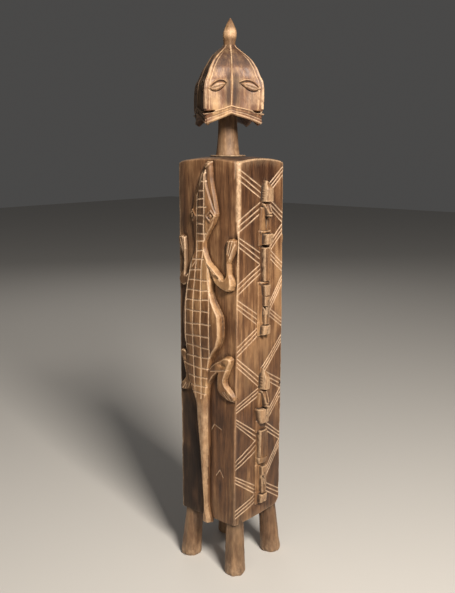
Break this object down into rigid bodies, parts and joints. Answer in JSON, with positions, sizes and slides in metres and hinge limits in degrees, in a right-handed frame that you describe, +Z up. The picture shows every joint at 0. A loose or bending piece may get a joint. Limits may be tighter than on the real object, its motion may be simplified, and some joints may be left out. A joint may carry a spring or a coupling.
{
  "type": "carved ancestor figure",
  "caption": "Tall square wooden container on splayed legs, carved with crocodiles and standing ancestors, closed by a lift-off stopper with a four-faced head.",
  "frame": {"origin": "on the ground, under the middle of the trunk", "axes": "+Z up along the trunk; -Y out of the front crocodile's side; +X out of the side with the right-hand ancestors"},
  "size_m": [0.1244, 0.1254, 0.76],
  "materials": {
    "carved_wood": "dark brown oiled and handled hardwood, knife-cut, with pale wear on the edges and incisions",
    "worn_wood": "the same hardwood, tan and ochre where the raised carving is rubbed",
    "foot_wood": "the same hardwood, rough-hewn, with paler end grain at the ground",
    "plug_wood": "the same hardwood, turned smooth by use in the mouth"
  },
  "bodies": {
    "trunk": {"trunk": "carved_wood", "leg_front_left": "foot_wood", "leg_front_right": "foot_wood", "leg_back_left": "foot_wood", "leg_back_right": "foot_wood", "crocodile_front": "worn_wood", "crocodile_back": "worn_wood", "ancestor_right_upper": "worn_wood", "ancestor_right_lower": "worn_wood", "ancestor_left_upper": "worn_wood", "ancestor_left_lower": "worn_wood"},
    "stopper": {"stopper_plug": "plug_wood"},
    "head": {"neck": "carved_wood", "head": "carved_wood", "topknot": "worn_wood"}
  },
  "joints": [
    {"name": "stopper_lift", "type": "slide", "parent": "trunk", "child": "stopper", "axis": [0, 0, 1], "range_m": [0, 0.06]},
    {"name": "head_turn", "type": "hinge", "parent": "stopper", "child": "head", "pos_m": [-0.004, -0.003, 0.584], "axis": [0, 0, 1], "continuous": true}
  ]
}
